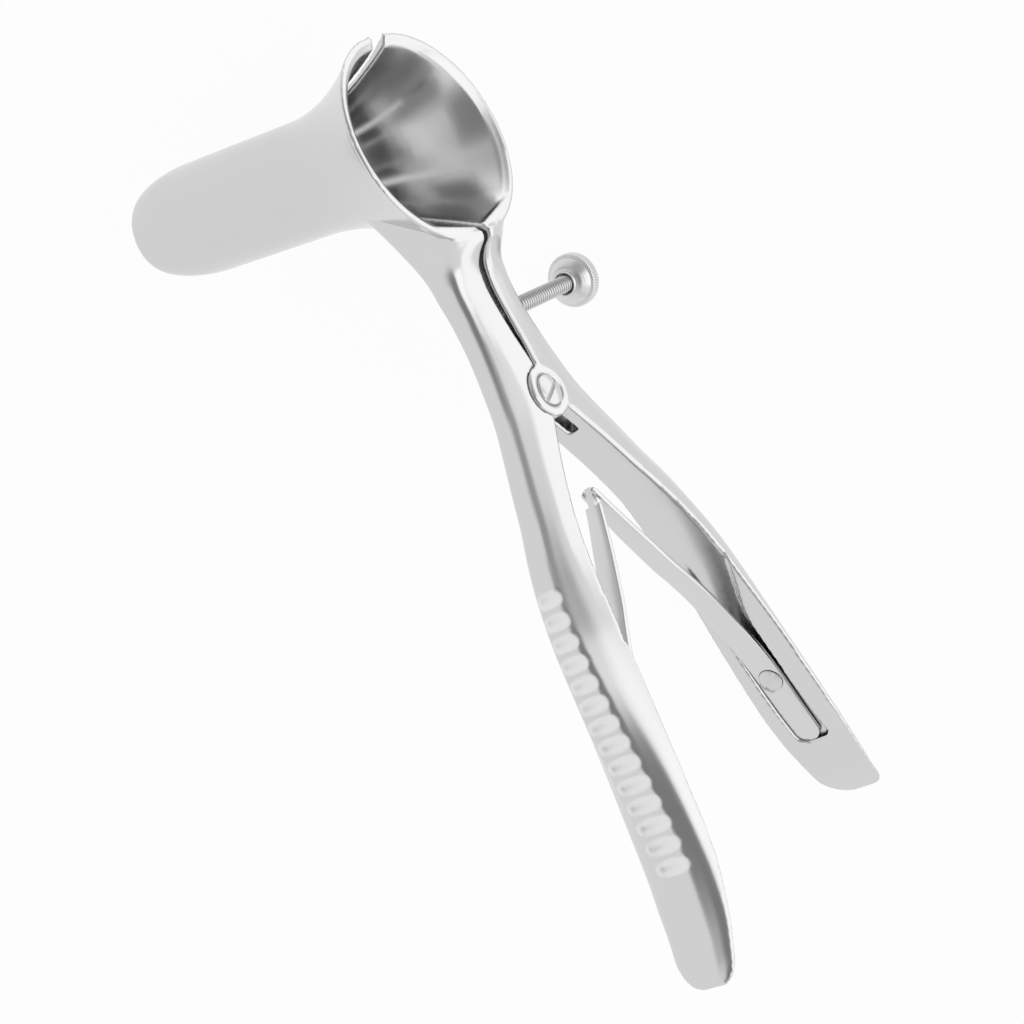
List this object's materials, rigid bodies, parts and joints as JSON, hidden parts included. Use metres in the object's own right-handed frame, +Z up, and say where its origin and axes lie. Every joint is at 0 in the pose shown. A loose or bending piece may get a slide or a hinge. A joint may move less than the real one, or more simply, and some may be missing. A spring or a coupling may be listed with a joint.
{
  "type": "anal speculum",
  "caption": "Two-blade stainless anal speculum: flared half-tube blades on a pivot, opened by curved ribbed handles with leaf springs and held by a knurled set screw.",
  "frame": {"origin": "middle of the bounding box on the surface that the instrument lies on", "axes": "+Z up, +X from the handle ends towards the funnel, +Y towards the blade tips"},
  "size_m": [0.1902, 0.0788, 0.0757],
  "materials": {
    "forged_steel": "satin polished stainless steel",
    "bright_steel": "bright turned stainless steel",
    "satin_steel": "fine turned stainless steel with a knurled rim",
    "spring_steel": "satin spring steel"
  },
  "bodies": {
    "right": {"right_half": "forged_steel", "right_spring_screw": "bright_steel"},
    "left": {"left_half": "forged_steel", "pivot_screw": "bright_steel", "left_spring_screw": "bright_steel"},
    "right_leaf": {"right_spring": "spring_steel"},
    "left_leaf": {"left_spring": "spring_steel"},
    "screw": {"set_screw": "bright_steel"},
    "knob": {"set_knob": "satin_steel"}
  },
  "joints": [
    {"name": "blades_open", "type": "hinge", "parent": "right", "child": "left", "pos_m": [0.01622, -0.02573, 0.0377], "axis": [0.0107, -0.9288, 0.3704], "range_deg": [-2.7, 21.3], "stiffness_Nm_per_rad": 4},
    {"name": "right_leaf_bend", "type": "hinge", "parent": "right", "child": "right_leaf", "pos_m": [-0.06211, -0.02839, 0.01018], "axis": [0.0107, -0.9288, 0.3704], "range_deg": [-4.2, 0.7]},
    {"name": "left_leaf_bend", "type": "hinge", "parent": "left", "child": "left_leaf", "pos_m": [-0.06056, -0.00716, 0.06336], "axis": [0.0107, -0.9288, 0.3704], "range_deg": [-0.7, 4.2]},
    {"name": "screw_travel", "type": "slide", "parent": "right", "child": "screw", "axis": [-0.0505, -0.3705, -0.9275], "range_m": [-0.0072, 0.001]},
    {"name": "knob_turn", "type": "hinge", "parent": "screw", "child": "knob", "pos_m": [0.03247, -0.03319, 0.00422], "axis": [-0.0505, -0.3705, -0.9275], "range_deg": [-600, 4100]}
  ],
  "couplings": [
    {"joint": "right_leaf_bend", "follows": "blades_open", "ratio": -0.184},
    {"joint": "left_leaf_bend", "follows": "blades_open", "ratio": 0.184},
    {"joint": "screw_travel", "follows": "blades_open", "m_per_rad": -0.0179},
    {"joint": "knob_turn", "follows": "blades_open", "ratio": 187}
  ]
}
